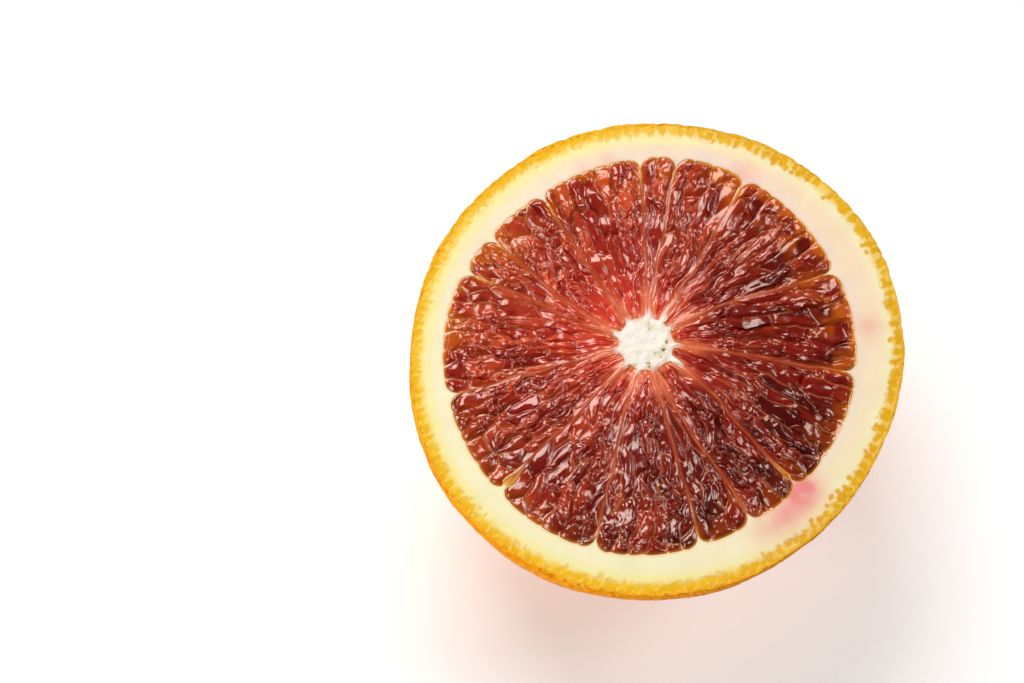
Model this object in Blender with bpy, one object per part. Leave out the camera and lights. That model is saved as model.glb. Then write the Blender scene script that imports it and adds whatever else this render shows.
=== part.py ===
"""Blood orange half, cut across the equator and lying on its blossom end with the cut face up.

Metres, +Z up. The origin is the middle of the small flat that the half rests on. +Y is the top
of the cut face as it is usually looked at. The peel, pith, membranes and white core are one
grown piece, fruit_half, with a pocket for each pulp segment, and each segment is its own solid.
"""

import math
import random

import bmesh
import bpy
from mathutils import Vector

MM = 0.001

# Driving dimensions of the fruit
CUT_RADIUS = 36.2 * MM
DEPTH = 35.0 * MM
DOME_DEPTH = 35.5 * MM
RIND_AT_POLE = 6.0 * MM
CORE_CENTRE = Vector((-1.5 * MM, 1.8 * MM))
CORE_RADIUS = 3.8 * MM
FLESH_RADIUS = 30.1 * MM

# Unevenness of the two outlines: (waves round the fruit, height of the wave, where its crest is)
RIM_WAVES = ((2, 0.95 * MM, 38.0), (3, 0.17 * MM, 18.0), (4, 0.14 * MM, 30.0))
FLESH_WAVES = ((1, 1.6 * MM, -74.0), (2, 0.8 * MM, 43.0), (4, 0.3 * MM, -12.0))

# Each membrane between two segments, in degrees anticlockwise from +X: its direction where it
# meets the pith, and its direction where it leaves the core. It bends most near the core. Two
# neighbours with nearly the same direction at the core have grown together there.
MEMBRANES = (
    (-164.0, -166.0), (-134.0, -135.0), (-105.0, -110.0), (-76.5, -73.0), (-61.0, -71.0),
    (-44.5, -32.0), (-7.5, -2.0), (22.5, 38.0), (59.5, 58.0), (80.5, 86.0), (91.5, 88.0),
    (124.5, 130.0), (145.5, 163.0), (158.5, 165.0),
)
MEMBRANE_BEND = 2.2
MEMBRANE_THICKNESS = 0.5 * MM
CLEARANCE = 0.3 * MM

# Shape of one segment
OUTER_CORNER = 2.0 * MM
INNER_CORNER = 0.9 * MM
MOST_CORNER = 0.42
CORNER_MIDDLE = 1 - math.sqrt(0.5)
TIP_WIDTH = 0.7 * MM
TIP_FROM_CORE = 0.8 * MM
TIP_SEARCH_STEP = 0.1 * MM
LAST_RADIAL_WIDTH = 3.0 * MM
SIDE_RINGS = 4

# Juice sacs, as relief on top of a segment
SAC_WIDTH = 3.6 * MM
SAC_ROWS = 7
ROWS_IN_A_SAC = 3
EDGE_DROP = 0.3 * MM
RIDGE_HEIGHT = 0.25 * MM
VALLEY_DEPTH = 0.25 * MM
SAC_UNEVENNESS = 0.12 * MM
SEED = 11

# Fineness of the round shapes
RIM_STEPS = 96
DOME_RINGS = 12
CUTTER_OVERSHOOT = 1.0 * MM

PEEL_COLOUR = (0.90, 0.38, 0.02, 1.0)
PITH_COLOUR = (0.95, 0.86, 0.62, 1.0)
PULP_COLOUR = (0.30, 0.02, 0.01, 1.0)


def clear_scene():
    for old in list(bpy.data.objects):
        bpy.data.objects.remove(old, do_unlink=True)


def make_material(name, colour, roughness):
    material = bpy.data.materials.new(name)
    material.use_nodes = True
    shader = material.node_tree.nodes["Principled BSDF"]
    shader.inputs["Base Color"].default_value = colour
    shader.inputs["Roughness"].default_value = roughness
    shader.inputs["Metallic"].default_value = 0.0
    return material


def wave_sum(waves, angle):
    return sum(height * math.cos(count * (angle - math.radians(crest))) for count, height, crest in waves)


def rim_point(angle):
    radius = CUT_RADIUS + wave_sum(RIM_WAVES, angle)
    return Vector((radius * math.cos(angle), radius * math.sin(angle)))


def rim_angles():
    return [2 * math.pi * step / RIM_STEPS for step in range(RIM_STEPS)]


def rim_middle():
    """Middle of the outline's box, which the outline is moved back by, so that it lies on the Z axis."""
    points = [rim_point(angle) for angle in rim_angles()]
    low = Vector((min(p.x for p in points), min(p.y for p in points)))
    high = Vector((max(p.x for p in points), max(p.y for p in points)))
    return (low + high) / 2


def new_object(name, mesh_builder, materials):
    mesh = bpy.data.meshes.new(name)
    mesh_builder.normal_update()
    mesh_builder.to_mesh(mesh)
    mesh_builder.free()
    for material in materials:
        mesh.materials.append(material)
    made = bpy.data.objects.new(name, mesh)
    return made


def bridge(builder, upper, lower, slot=0):
    """Faces between two rings that run anticlockwise seen from above."""
    count = len(upper)
    for i in range(count):
        j = (i + 1) % count
        face = builder.faces.new((upper[i], lower[i], lower[j], upper[j]))
        face.material_index = slot


def fruit_body(materials):
    """The dome with its flat cut face: an ellipsoid's lower half, its last half millimetre cut off flat."""
    builder = bmesh.new()
    middle = rim_middle()
    steepest = math.asin(DEPTH / DOME_DEPTH)
    rings = []
    for ring in range(DOME_RINGS + 1):
        slope = steepest * ring / DOME_RINGS
        height = DEPTH - DOME_DEPTH * math.sin(slope)
        if ring == DOME_RINGS:
            height = 0.0
        verts = []
        for angle in rim_angles():
            flat = (rim_point(angle) - middle) * math.cos(slope)
            verts.append(builder.verts.new((flat.x, flat.y, height)))
        rings.append(verts)
    for upper, lower in zip(rings, rings[1:]):
        bridge(builder, upper, lower)
    cut_face = builder.faces.new(rings[0])
    cut_face.material_index = 1
    builder.faces.new(list(reversed(rings[-1])))
    return new_object("fruit_half", builder, materials)


def membrane_direction(membrane, radius):
    """Direction of a membrane at some distance from the middle of the core, in radians."""
    at_pith, at_core = (math.radians(degrees) for degrees in membrane)
    nearness = (FLESH_RADIUS - radius) / (FLESH_RADIUS - CORE_RADIUS)
    nearness = min(1.0, max(0.0, nearness))
    return at_pith + (at_core - at_pith) * nearness ** MEMBRANE_BEND


def rounded(from_side, corner):
    """How far a rounded corner draws back from a straight end, at a distance from the side."""
    inside = min(corner, max(0.0, corner - from_side))
    return corner - math.sqrt(corner * corner - inside * inside)


class Segment:
    """One pulp segment between two membranes, in polar places round the core."""

    def __init__(self, start_membrane, end_membrane):
        self.membranes = (start_membrane, end_membrane)
        self.start, self.end = self.directions(FLESH_RADIUS)
        self.width = (self.end - self.start) * FLESH_RADIUS
        self.inner = self.tip_radius()
        self.outer_corner = min(OUTER_CORNER, MOST_CORNER * self.width)
        self.inner_corner = min(INNER_CORNER, MOST_CORNER * self.room(self.inner))
        self.columns = self.column_places()
        self.flesh_depth = DEPTH - RIND_AT_POLE
        last = (self.inner + LAST_RADIAL_WIDTH) / self.outer(0.5)
        self.deepest = self.flesh_depth * math.sqrt(1 - last * last)

    def directions(self, radius):
        """Directions of the two membranes, the second always ahead of the first."""
        start, end = (membrane_direction(membrane, radius) for membrane in self.membranes)
        if end < start:
            end += 2 * math.pi
        return start, end

    def room(self, radius):
        """Width of the pulp at some distance from the core."""
        start, end = self.directions(radius)
        return (end - start) * radius - MEMBRANE_THICKNESS - 2 * CLEARANCE

    def tip_radius(self):
        radius = CORE_RADIUS + TIP_FROM_CORE
        while self.room(radius) < TIP_WIDTH:
            radius += TIP_SEARCH_STEP
        return radius

    def column_places(self):
        """Places of the columns across, 0 to 1: one in each corner's curve, and two for each sac."""
        corner = self.outer_corner / self.width
        sacs = max(1, round((1 - 2 * corner) * self.width / SAC_WIDTH))
        middle = [corner + (1 - 2 * corner) * step / (2 * sacs) for step in range(2 * sacs + 1)]
        first = [0.0, CORNER_MIDDLE * corner]
        return first + middle + [1 - place for place in reversed(first)]

    def outer(self, across):
        direction = self.start + (self.end - self.start) * across
        return FLESH_RADIUS + wave_sum(FLESH_WAVES, direction)

    def place(self, across, along, depth, clearance):
        """XY of the point across (0 to 1) between the membranes and along (0 to 1) from core to pith."""
        shrink = math.sqrt(1 - (depth / self.flesh_depth) ** 2)
        share = min(across, 1 - across)
        inner_notch = rounded(share * self.room(self.inner), self.inner_corner)
        outer_notch = rounded(share * self.width, self.outer_corner)
        inner = self.inner + inner_notch + clearance
        outer = (self.outer(across) - outer_notch) * shrink - clearance
        radius = inner + (outer - inner) * along
        side = math.asin((MEMBRANE_THICKNESS / 2 + clearance) / radius)
        start, end = self.directions(radius)
        direction = start + side + (end - start - 2 * side) * across
        return CORE_CENTRE + Vector((radius * math.cos(direction), radius * math.sin(direction)))

    def outline(self):
        """Places (column, row) round the edge, anticlockwise seen from above; rows run from core to pith."""
        last = len(self.columns) - 1
        outer_edge = [(column, SAC_ROWS) for column in range(last)]
        end_side = [(last, SAC_ROWS - row) for row in range(SAC_ROWS)]
        inner_edge = [(last - column, 0) for column in range(last)]
        start_side = [(0, row) for row in range(SAC_ROWS)]
        return outer_edge + end_side + inner_edge + start_side

    def ring(self, builder, depth, clearance, height):
        verts = []
        for column, row in self.outline():
            flat = self.place(self.columns[column], row / SAC_ROWS, depth, clearance)
            verts.append(builder.verts.new((flat.x, flat.y, height)))
        return verts

    def side_depths(self):
        return [self.deepest * math.sin(math.pi / 2 * ring / SIDE_RINGS) for ring in range(1, SIDE_RINGS + 1)]


def sac_relief(column, row, chance):
    """Height of a point on a segment's top: ridges a sac wide, which dip where one sac meets the next."""
    on_ridge = column % 2 == 1
    at_sac_end = (row + column // 2 * 2) % ROWS_IN_A_SAC == 0
    if on_ridge and not at_sac_end:
        level = RIDGE_HEIGHT
    elif on_ridge:
        level = 0.0
    else:
        level = -VALLEY_DEPTH
    return level + chance.uniform(-SAC_UNEVENNESS, SAC_UNEVENNESS)


def pulp_segment(name, segment, chance, material):
    builder = bmesh.new()
    last = len(segment.columns) - 1
    grid = {}
    for column, across in enumerate(segment.columns):
        for row in range(SAC_ROWS + 1):
            flat = segment.place(across, row / SAC_ROWS, 0.0, CLEARANCE)
            at_edge = column in (0, last) or row in (0, SAC_ROWS)
            relief = -EDGE_DROP if at_edge else sac_relief(column, row, chance)
            grid[column, row] = builder.verts.new((flat.x, flat.y, DEPTH + relief))
    for column in range(last):
        for row in range(SAC_ROWS):
            inner_pair = (grid[column + 1, row], grid[column, row])
            outer_pair = (grid[column, row + 1], grid[column + 1, row + 1])
            builder.faces.new(inner_pair + outer_pair)
    upper = [grid[place] for place in segment.outline()]
    for depth in segment.side_depths():
        floor_gap = CLEARANCE if depth == segment.deepest else 0.0
        lower = segment.ring(builder, depth, CLEARANCE, DEPTH - depth + floor_gap)
        bridge(builder, upper, lower)
        upper = lower
    builder.faces.new(list(reversed(upper)))
    return new_object(name, builder, [material])


def pocket_cutter(name, segment, materials):
    """The hollow that a segment grows in: its shape without the clearance, standing out of the cut face."""
    builder = bmesh.new()
    upper = segment.ring(builder, 0.0, 0.0, DEPTH + CUTTER_OVERSHOOT)
    lid = builder.faces.new(upper)
    lid.material_index = 1
    lower = segment.ring(builder, 0.0, 0.0, DEPTH - EDGE_DROP)
    bridge(builder, upper, lower, 1)
    for depth in segment.side_depths():
        upper = lower
        lower = segment.ring(builder, depth, 0.0, DEPTH - depth)
        bridge(builder, upper, lower, 1)
    floor = builder.faces.new(list(reversed(lower)))
    floor.material_index = 1
    cutter = new_object(name, builder, materials)
    cutter.hide_render = True
    cutter.display_type = "WIRE"
    return cutter


def segments():
    following = MEMBRANES[1:] + MEMBRANES[:1]
    return [Segment(start, end) for start, end in zip(MEMBRANES, following)]


def main():
    clear_scene()
    peel = make_material("peel", PEEL_COLOUR, 0.4)
    pith = make_material("pith", PITH_COLOUR, 0.7)
    pulp = make_material("pulp", PULP_COLOUR, 0.2)
    scene_collection = bpy.context.scene.collection
    body = fruit_body([peel, pith])
    scene_collection.objects.link(body)
    pockets = bpy.data.collections.new("pockets")
    scene_collection.children.link(pockets)
    chance = random.Random(SEED)
    for number, segment in enumerate(segments(), start=1):
        pockets.objects.link(pocket_cutter(f"pocket_{number:02d}", segment, [peel, pith]))
        scene_collection.objects.link(pulp_segment(f"pulp_segment_{number:02d}", segment, chance, pulp))
    hollow = body.modifiers.new("pockets", "BOOLEAN")
    hollow.operation = "DIFFERENCE"
    hollow.operand_type = "COLLECTION"
    hollow.collection = pockets
    hollow.solver = "EXACT"


main()
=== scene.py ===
# %% [markdown]
# # A blood orange half
# The half lies on its blossom end with the cut face up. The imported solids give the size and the
# place of everything. This script makes what is seen: pitted peel, pith with its row of oil
# glands, membranes, the white core, and wet red pulp. All lengths below are in millimetres, and
# are turned into metres when a mesh is made.

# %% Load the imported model
import math

import bpy
import numpy as np
from mathutils import Matrix, Vector


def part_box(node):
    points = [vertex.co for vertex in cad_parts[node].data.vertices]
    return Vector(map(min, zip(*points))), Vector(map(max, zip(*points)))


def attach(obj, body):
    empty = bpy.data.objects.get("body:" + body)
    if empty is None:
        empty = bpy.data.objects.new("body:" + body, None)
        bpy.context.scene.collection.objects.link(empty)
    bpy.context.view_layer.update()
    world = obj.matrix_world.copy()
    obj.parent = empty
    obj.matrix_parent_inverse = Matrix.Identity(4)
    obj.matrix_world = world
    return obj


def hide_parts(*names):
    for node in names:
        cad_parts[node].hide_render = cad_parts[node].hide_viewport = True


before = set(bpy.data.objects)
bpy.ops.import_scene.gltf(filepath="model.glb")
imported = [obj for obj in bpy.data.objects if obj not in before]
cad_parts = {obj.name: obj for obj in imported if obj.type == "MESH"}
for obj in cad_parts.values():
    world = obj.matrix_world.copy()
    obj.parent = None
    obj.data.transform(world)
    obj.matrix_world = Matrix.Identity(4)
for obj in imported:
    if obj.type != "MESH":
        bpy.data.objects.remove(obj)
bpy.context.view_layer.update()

print("CAD nodes:", len(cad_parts))

# %% [markdown]
# ## The fruit's own sizes
# These sizes follow the ones that the solids were built from, but the membranes are thinner, as
# on the real fruit. Both outlines of the cut face, the skin's and the flesh's, are circles made
# uneven by a few waves: each is a count round the fruit, a height and the direction of a crest.
# Each membrane is given by its direction where it meets the pith and where it leaves the core,
# in degrees anticlockwise from +X. In between it bends, wanders a little to the sides and
# thickens towards the core. Where two neighbours leave the core close together, the segment
# between them ends in a point.

# %% Sizes
MM = 0.001
TURN = 2 * math.pi
DEPTH = (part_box("fruit_half")[1].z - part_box("fruit_half")[0].z) / MM
CUT_RADIUS = 36.2
FLAT_SPOT_DEPTH = 0.5
DOME_DEPTH = DEPTH + FLAT_SPOT_DEPTH
RIND_AT_POLE = 6.0
FLESH_DEPTH = DEPTH - RIND_AT_POLE
CORE = np.array((-1.5, 1.8))
CORE_RADIUS = 3.8
FLESH_RADIUS = 30.1
RIM_WAVES = ((2, 0.95, 38.0), (3, 0.17, 18.0), (4, 0.14, 30.0))
FLESH_WAVES = ((1, 1.6, -74.0), (2, 0.8, 43.0), (4, 0.3, -12.0))
CORE_WAVES = ((1, 0.25, 180.0),)
MEMBRANES = (
    (-164.0, -166.0), (-134.0, -135.0), (-105.0, -110.0), (-76.5, -79.0), (-61.0, -77.0),
    (-44.5, -32.0), (-7.5, -2.0), (22.5, 38.0), (59.5, 58.0), (80.5, 86.0), (91.5, 88.0),
    (124.5, 130.0), (145.5, 163.0), (158.5, 165.0),
)
MEMBRANE_BEND = 2.2
MEMBRANE_THICKNESS = 0.14
THICKER_AT_CORE = 0.7
THICKER_REACH = 2.5
WANDER = 0.35
WANDER_LENGTH = 3.3
CALM_ENDS = 0.2
CLEAR_TOWARDS = math.radians(10.0)
OUTLINE_STEPS = 7200
print("cut face is", round(2 * CUT_RADIUS, 1), "mm across and", round(DEPTH, 1), "mm deep")

# %% [markdown]
# The skin, the flesh and the membranes each have an outline on the cut. They could be drawn by
# hand as curves. As functions of a direction they can be asked for at any point, so neighbouring
# pieces meet exactly, however finely each one is built.


# %% Outlines
def waves(terms, angle):
    return sum(height * np.cos(count * (angle - math.radians(crest))) for count, height, crest in terms)


def rim_outline(angle):
    radius = CUT_RADIUS + waves(RIM_WAVES, angle)
    return np.stack((radius * np.cos(angle), radius * np.sin(angle)), axis=-1)


FULL_TURN = np.linspace(0.0, TURN, OUTLINE_STEPS, endpoint=False)
RIM_MIDDLE = (rim_outline(FULL_TURN).max(axis=0) + rim_outline(FULL_TURN).min(axis=0)) / 2
CORE_TO_RIM = rim_outline(FULL_TURN) - RIM_MIDDLE - CORE


def rim_from_core(angle):
    """Distance from the core's middle to the skin in some direction."""
    seen_at = np.arctan2(CORE_TO_RIM[:, 1], CORE_TO_RIM[:, 0])
    return np.interp(angle, seen_at, np.hypot(CORE_TO_RIM[:, 0], CORE_TO_RIM[:, 1]), period=TURN)


def flesh_radius(angle):
    return FLESH_RADIUS + waves(FLESH_WAVES, angle)


def membrane_angle(number, radius):
    """Direction of a membrane from the core at some distance: it bends near the core and wanders."""
    at_pith = math.radians(MEMBRANES[number][0])
    at_core = math.radians(MEMBRANES[number][1])
    nearness = np.clip((FLESH_RADIUS - radius) / (FLESH_RADIUS - CORE_RADIUS), 0.0, 1.0)
    calm = step_up(0.0, CALM_ENDS, nearness) * step_up(1.0, 1 - CALM_ENDS, nearness)
    wander = WANDER * noise_along(radius, WANDER_LENGTH, 200 + number)
    return at_pith + (at_core - at_pith) * nearness ** MEMBRANE_BEND + calm * wander / radius


def membrane_thickness(radius):
    return MEMBRANE_THICKNESS + THICKER_AT_CORE * np.exp((CORE_RADIUS - radius) / THICKER_REACH)


reach = np.hypot(*CORE_TO_RIM.T)
print("from core to skin:", round(float(reach.min()), 1), "to", round(float(reach.max()), 1), "mm")

# %% [markdown]
# ## Chance that repeats
# Natural surfaces need uneven detail that comes out the same on each run. Numbers drawn one after
# another would all change as soon as a mesh got one more point. So a chance number is worked out
# from a place instead, and soft noise blends the numbers at the eight corners of a box.


# %% Noise and soft steps
def lattice(i, j, k, seed):
    """A repeatable number from 0 to 1 for each whole-number place."""
    mixed = (i * 73856093) ^ (j * 19349663) ^ (k * 83492791) ^ (seed * 39916801)
    mixed = mixed & 0xFFFFFFFF
    mixed = ((mixed ^ (mixed >> 16)) * 0x45D9F3B) & 0xFFFFFFFF
    mixed = ((mixed ^ (mixed >> 16)) * 0x45D9F3B) & 0xFFFFFFFF
    return (mixed ^ (mixed >> 16)) / 0xFFFFFFFF


def noise(x, y, z=0.0, seed=0):
    """Soft noise from -1 to 1, with bumps about one unit wide."""
    x, y, z = np.broadcast_arrays(x, y, z)
    corner = [np.floor(c).astype(np.int64) for c in (x, y, z)]
    part = [c - k for c, k in zip((x, y, z), corner)]
    fade = [t * t * t * (t * (6 * t - 15) + 10) for t in part]
    total = np.zeros(x.shape)
    for dx in (0, 1):
        for dy in (0, 1):
            for dz in (0, 1):
                weight = 1.0
                for step, t in zip((dx, dy, dz), fade):
                    weight = weight * (t if step else 1 - t)
                total += weight * lattice(corner[0] + dx, corner[1] + dy, corner[2] + dz, seed)
    return 2 * total - 1


def step_up(low, high, value):
    """0 below low, 1 above high, and a soft step between."""
    t = np.clip((value - low) / (high - low), 0.0, 1.0)
    return t * t * (3 - 2 * t)


def clear_side(angle):
    """1 on the side where the band under the skin is clear and pale, 0 on the golden side."""
    return step_up(-0.2, 0.7, np.cos(angle - CLEAR_TOWARDS))


def noise_along(distance, length, seed):
    """Noise on a line, for what varies along a membrane."""
    return noise(distance / length, 0.5, seed=seed)


sample = noise(np.linspace(0, 50, 2000), 0.3)
print("noise runs from", round(float(sample.min()), 2), "to", round(float(sample.max()), 2))

# %% [markdown]
# Juice sacs press on each other like bubbles in foam, so each one fills the space that is nearest
# to its own middle. Cells round scattered points do the same. A point on a border is as far from
# one middle as from the next, and that tells where the pale skin between two sacs lies.

# %% Cells
FAR = 99.0
SCATTER_ACROSS = 0.45
SCATTER_ALONG = 0.7


def cells(u, v, wide, long, columns, seed):
    """Cells round scattered points, one unit of u and v being wide and long in millimetres.

    Gives the distance to the cell's border, the cell's own chance numbers and the place in the cell.
    """
    iu = np.floor(u).astype(np.int64)
    iv = np.floor(v).astype(np.int64)
    shape = np.broadcast(u, v).shape
    nearest = [np.full(shape, FAR), np.full(shape, FAR)]
    offsets = [[np.zeros(shape), np.zeros(shape)], [np.zeros(shape), np.zeros(shape)]]
    owner = [np.zeros(shape, np.int64), np.zeros(shape, np.int64)]
    for du in (-1, 0, 1):
        for dv in (-2, -1, 0, 1):
            cu = iu + du
            cv = iv + dv
            pu = cu + 0.5 + SCATTER_ACROSS * (lattice(cu, cv, 1, seed) - 0.5)
            pv = cv + 0.5 + 0.5 * (cu & 1) + SCATTER_ALONG * (lattice(cu, cv, 2, seed) - 0.5)
            away = np.hypot(u - pu, v - pv)
            away = np.where((cu < 0) | (cu >= columns), FAR, away)
            nearer = away < nearest[0]
            next_one = ~nearer & (away < nearest[1])
            nearest[1] = np.where(nearer, nearest[0], np.where(next_one, away, nearest[1]))
            nearest[0] = np.where(nearer, away, nearest[0])
            for axis, offset in enumerate((u - pu, v - pv)):
                kept = np.where(next_one, offset, offsets[1][axis])
                offsets[1][axis] = np.where(nearer, offsets[0][axis], kept)
                offsets[0][axis] = np.where(nearer, offset, offsets[0][axis])
            owner = [np.where(nearer, cu, owner[0]), np.where(nearer, cv, owner[1])]
    apart = [offsets[0][axis] - offsets[1][axis] for axis in (0, 1)]
    between = np.hypot(*apart) + 1e-6
    units = (nearest[1] ** 2 - nearest[0] ** 2) / (2 * between)
    border = units / np.hypot(apart[0] / between / wide, apart[1] / between / long)
    numbers = [lattice(owner[0], owner[1], k, seed) for k in (5, 6, 7, 8)]
    return border, numbers, (offsets[0][0] * wide, offsets[0][1] * long)


sample = cells(np.linspace(0, 9, 2000), 2.3, 1.0, 1.0, 9, 0)[0]
print("a point in a cell is up to", round(float(sample.max()), 2), "units from its border")

# %% [markdown]
# ## Meshes from rings
# Peel, pith and core are all surfaces that run round the fruit. A sphere could be pushed into
# shape with modifiers, but its points would be spread evenly, and most of the detail is at the
# cut. So each surface is a list of closed rings from one pole to the other, close together where
# there is much to show. Where less detail is needed a ring has half as many points as its
# neighbour. The result is always one closed surface with its faces pointing out.


# %% Build a mesh and stitch rings
SHARP_EDGE = math.radians(50.0)


def new_piece(name, points, faces, layers, material):
    mesh = bpy.data.meshes.new(name)
    mesh.from_pydata((np.asarray(points) * MM).tolist(), [], faces)
    mesh.shade_smooth()
    mesh.set_sharp_from_angle(angle=SHARP_EDGE)
    for layer, values in layers.items():
        data = mesh.attributes.new(layer, "FLOAT", "POINT")
        data.data.foreach_set("value", np.asarray(values, np.float32))
    mesh.materials.append(material)
    piece = bpy.data.objects.new(name, mesh)
    bpy.context.scene.collection.objects.link(piece)
    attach(piece, "root")
    return piece


def stitch(near, far):
    """Faces between two closed rings; one of them may have half as many points."""
    if len(near) == len(far):
        return np.stack((near, far, np.roll(far, -1), np.roll(near, -1)), axis=1).tolist()
    if len(near) > len(far):
        a, b, c = near[0::2], near[1::2], np.roll(near[0::2], -1)
        left, right = far, np.roll(far, -1)
        fans = ((a, left, b), (b, left, right), (b, right, c))
    else:
        a, b, c = far[0::2], far[1::2], np.roll(far[0::2], -1)
        left, right = near, np.roll(near, -1)
        fans = ((a, b, left), (b, right, left), (b, c, right))
    return np.concatenate([np.stack(fan, axis=1) for fan in fans]).tolist()


def closed_rings(rings):
    """Points and faces of a closed surface from a list of rings, each an array of points."""
    start = 0
    numbers = []
    for ring in rings:
        numbers.append(np.arange(start, start + len(ring)))
        start += len(ring)
    points = np.concatenate(rings + [rings[0].mean(axis=0)[None], rings[-1].mean(axis=0)[None]])
    faces = []
    for near, far in zip(numbers, numbers[1:]):
        faces += stitch(near, far)
    first = numbers[0]
    last = numbers[-1]
    faces += [(start, int(a), int(b)) for a, b in zip(first, np.roll(first, -1))]
    faces += [(start + 1, int(b), int(a)) for a, b in zip(last, np.roll(last, -1))]
    return points, faces


square = np.array(((1, -1, 0), (1, 1, 0), (-1, 1, 0), (-1, -1, 0)))
print("two rings of four points make", len(closed_rings([square, square + (0, 0, 1)])[1]), "faces")

# %% [markdown]
# ## Camera, light and floor
# The picture is taken at about 17 degrees from straight on, from the lower left. The fruit now
# lies face up, so the camera hangs above it and leans the same way. It is turned so that +Y is
# up in the picture, and aimed so that the fruit sits right of the middle.

# %% Camera
VIEW_LEAN = math.radians(17.0)
VIEW_TOWARDS = math.radians(250.0)
PIXEL = 0.1463
FRAME_WIDTH = 1024
FRAME_HEIGHT = 683
FRUIT_AT = (658.0, 355.5)
CAMERA_DISTANCE = 600.0
SENSOR = 36.0


def in_metres(values):
    return Vector([float(v) for v in values]) * MM


to_camera = Vector((
    math.sin(VIEW_LEAN) * math.cos(VIEW_TOWARDS),
    math.sin(VIEW_LEAN) * math.sin(VIEW_TOWARDS),
    math.cos(VIEW_LEAN),
))
lean = Vector((0, 0, 1)).rotation_difference(to_camera)
picture_right = lean @ Vector((1, 0, 0))
picture_up = lean @ Vector((0, 1, 0))
cut_middle = Vector((0, 0, DEPTH))
aim = (
    cut_middle
    - picture_right * (FRUIT_AT[0] - FRAME_WIDTH / 2) * PIXEL
    + picture_up * (FRUIT_AT[1] - FRAME_HEIGHT / 2) * PIXEL
)
eye = cut_middle + to_camera * CAMERA_DISTANCE
back = (eye - aim).normalized()
right = picture_up.cross(back).normalized()
up = back.cross(right)
lens = bpy.data.cameras.new("camera")
lens.sensor_width = SENSOR
lens.lens = SENSOR * CAMERA_DISTANCE / (FRAME_WIDTH * PIXEL)
lens.clip_start = 10 * MM
camera = bpy.data.objects.new("camera", lens)
bpy.context.scene.collection.objects.link(camera)
camera.matrix_world = Matrix.Translation(eye * MM) @ Matrix((right, up, back)).transposed().to_4x4()
bpy.context.scene.camera = camera
print("lens", round(lens.lens, 1), "mm, camera", round(CAMERA_DISTANCE), "mm away")

# %% [markdown]
# Wet pulp is dark, and only looks wet where its slopes mirror a lamp. So most light comes from
# large soft lamps rather than from an even sky, which would lay a grey veil over the red.

# %% Lamps, sky and floor
LAMPS = (
    ("key_softbox", (-190.0, 410.0, 520.0), 430.0, 3.8),
    ("side_softbox", (480.0, 150.0, 460.0), 260.0, 1.3),
    ("low_softbox", (-420.0, -330.0, 260.0), 320.0, 1.6),
)
SKY_COLOUR = (1.0, 0.9, 0.82, 1.0)
SKY_STRENGTH = 0.06
FLOOR_SIZE = 6000.0
FLOOR_GAP = 0.05
FLOOR_LOOK = (
    ("Base Color", (0.9, 0.9, 0.9, 1.0)), ("Roughness", 0.8),
    ("Emission Color", (1.0, 1.0, 1.0, 1.0)), ("Emission Strength", 0.3),
)


def add_lamp(name, place, size, watts):
    light = bpy.data.lights.new(name, "AREA")
    light.shape = "SQUARE"
    light.size = size * MM
    light.energy = watts
    lamp = bpy.data.objects.new(name, light)
    bpy.context.scene.collection.objects.link(lamp)
    lamp.location = in_metres(place)
    lamp.rotation_euler = (in_metres(place) - in_metres((0, 0, DEPTH))).to_track_quat("Z", "Y").to_euler()


for lamp in LAMPS:
    add_lamp(*lamp)

world = bpy.data.worlds.new("studio")
bpy.context.scene.world = world
world.use_nodes = True
world.node_tree.nodes["Background"].inputs["Color"].default_value = SKY_COLOUR
world.node_tree.nodes["Background"].inputs["Strength"].default_value = SKY_STRENGTH
bpy.context.scene.view_settings.view_transform = "Standard"

floor_mesh = bpy.data.meshes.new("floor")
corners = [(-1, -1), (1, -1), (1, 1), (-1, 1)]
floor_points = [in_metres((x * FLOOR_SIZE / 2, y * FLOOR_SIZE / 2, -FLOOR_GAP)) for x, y in corners]
floor_mesh.from_pydata(floor_points, [], [(0, 1, 2, 3)])
floor = bpy.data.objects.new("floor", floor_mesh)
bpy.context.scene.collection.objects.link(floor)
floor_paint = bpy.data.materials.new("pale_floor")
floor_paint.use_nodes = True
for name, value in FLOOR_LOOK:
    floor_paint.node_tree.nodes["Principled BSDF"].inputs[name].default_value = value
floor_mesh.materials.append(floor_paint)
print("lamps:", len(LAMPS))

# %% [markdown]
# ## Building materials from nodes
# An image wrapped round the fruit would bring its own light with it and blur close up. Nodes work
# the colours out instead, at any distance. Colours are read as the usual web codes and changed to
# the linear values that the renderer works in. `paint` lays colours over one another through
# masks, and `dress` fills in the shader's own sockets, so each material below reads from top to
# bottom.


# %% Colours
def colour(code):
    """A web colour such as ff9900 as linear red, green, blue and alpha."""
    parts = [int(code[k:k + 2], 16) / 255 for k in (0, 2, 4)]
    return tuple(c / 12.92 if c <= 0.04045 else ((c + 0.055) / 1.055) ** 2.4 for c in parts) + (1.0,)


def put(tree, socket, value):
    """Links an output to a socket, or sets the socket to a plain value or a web colour."""
    if isinstance(value, bpy.types.NodeSocket):
        tree.links.new(value, socket)
    else:
        socket.default_value = colour(value) if isinstance(value, str) else value


def dress(tree, shader, looks):
    """Fills in the shader's own sockets by name."""
    for name, value in looks.items():
        put(tree, shader.inputs[name], value)


def blend_colours(tree, amount, first, second):
    node = tree.nodes.new("ShaderNodeMix")
    node.data_type = "RGBA"
    for number, value in ((0, amount), (6, first), (7, second)):
        put(tree, node.inputs[number], value)
    return node.outputs[2]


def paint(tree, under, *coats):
    """Lays colours over one another, each where its mask is high."""
    for mask, over in coats:
        under = blend_colours(tree, mask, under, over)
    return under


print("dark red is", [round(part, 3) for part in colour("720409")])

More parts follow.
